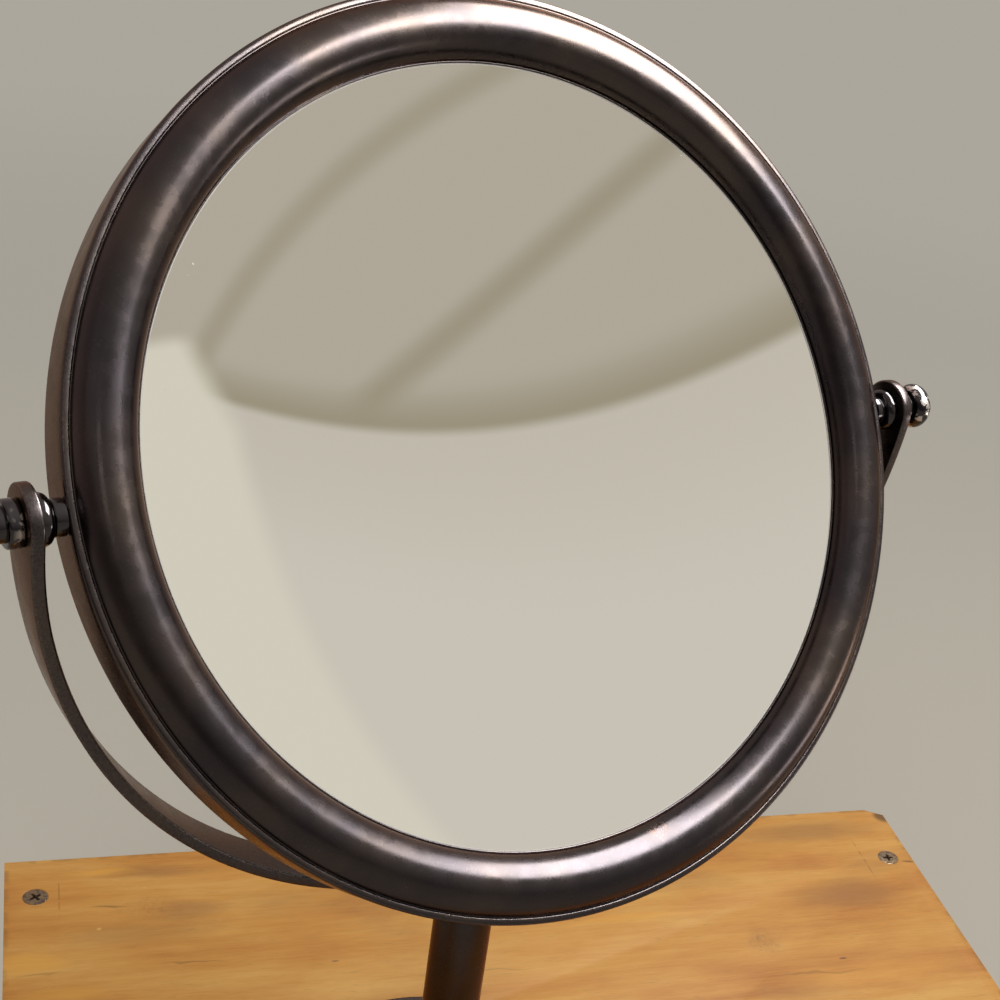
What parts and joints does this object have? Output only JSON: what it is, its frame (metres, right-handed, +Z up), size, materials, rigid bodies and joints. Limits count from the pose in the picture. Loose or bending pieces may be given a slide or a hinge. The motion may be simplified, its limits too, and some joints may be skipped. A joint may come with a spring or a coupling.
{
  "type": "vanity mirror with drawer",
  "caption": "Round swivelling and tilting vanity mirror in a U-shaped yoke on a post, standing on a wooden box with a pull-out drawer; magnifying glass in front, plain glass behind.",
  "frame": {"origin": "middle of the felt on the underside of the wooden box", "axes": "+Z up, drawer opens towards -Y, +X to the right seen from the drawer side"},
  "size_m": [0.329, 0.256, 0.4386],
  "materials": {
    "case_wood": "golden amber varnished pine, worn satin",
    "drawer_wood": "golden amber varnished pine, worn satin",
    "panel_wood": "plain pale plywood",
    "runner_wood": "plain hardwood, waxed",
    "felt": "short felt, matte",
    "screw_steel": "dulled zinc plate",
    "bumper_rubber": "soft matte",
    "bronze_metal": "dark oil-rubbed bronze, satin",
    "black_nickel": "black nickel, polished",
    "washer_plastic": "plain",
    "mirror_glass": "polished silvered glass",
    "spacer_plastic": "plain"
  },
  "bodies": {
    "case": {"top_board": "case_wood", "bottom_board": "case_wood", "side_board_left": "case_wood", "side_board_right": "case_wood", "back_board": "case_wood", "base_felt": "felt", "top_board_screws": "screw_steel", "bottom_board_screws": "screw_steel", "back_board_screws": "screw_steel", "drawer_runner_left": "runner_wood", "drawer_runner_right": "runner_wood", "drawer_bumpers": "bumper_rubber", "post_flange": "bronze_metal", "flange_screws": "screw_steel", "post": "bronze_metal", "post_screw": "screw_steel", "swivel_washer": "washer_plastic", "yoke_screw": "screw_steel"},
    "drawer": {"drawer_front": "drawer_wood", "drawer_side_left": "drawer_wood", "drawer_side_right": "drawer_wood", "drawer_back": "drawer_wood", "drawer_bottom": "panel_wood", "drawer_liner": "felt", "drawer_brads": "screw_steel", "drawer_pull": "bronze_metal", "drawer_pull_screw": "screw_steel"},
    "yoke": {"yoke_hub": "bronze_metal", "yoke_strap": "bronze_metal", "friction_washer_left": "black_nickel", "friction_washer_right": "black_nickel"},
    "mirror": {"front_bezel": "bronze_metal", "rear_frame": "bronze_metal", "magnifying_glass": "mirror_glass", "plain_glass": "mirror_glass", "glass_spacer": "spacer_plastic", "pivot_stud_left": "black_nickel", "pivot_stud_right": "black_nickel", "pivot_block_left": "screw_steel", "pivot_block_right": "screw_steel"},
    "knob_left": {"tension_knob_left": "black_nickel"},
    "knob_right": {"tension_knob_right": "black_nickel"}
  },
  "joints": [
    {"name": "drawer_slide", "type": "slide", "parent": "case", "child": "drawer", "axis": [0, -1, 0], "range_m": [0, 0.15]},
    {"name": "yoke_swivel", "type": "hinge", "parent": "case", "child": "yoke", "pos_m": [-0.045, -0.017, 0.2198], "axis": [0, 0, 1], "continuous": true},
    {"name": "mirror_tilt", "type": "hinge", "parent": "yoke", "child": "mirror", "pos_m": [-0.045, -0.017, 0.346], "axis": [0.955, 0.2965, 0], "continuous": true},
    {"name": "tension_knob_left_turn", "type": "hinge", "parent": "mirror", "child": "knob_left", "pos_m": [-0.045, -0.017, 0.346], "axis": [-0.955, -0.2965, 0], "range_deg": [0, 330]},
    {"name": "tension_knob_right_turn", "type": "hinge", "parent": "mirror", "child": "knob_right", "pos_m": [-0.045, -0.017, 0.346], "axis": [0.955, 0.2965, 0], "range_deg": [0, 330]}
  ]
}
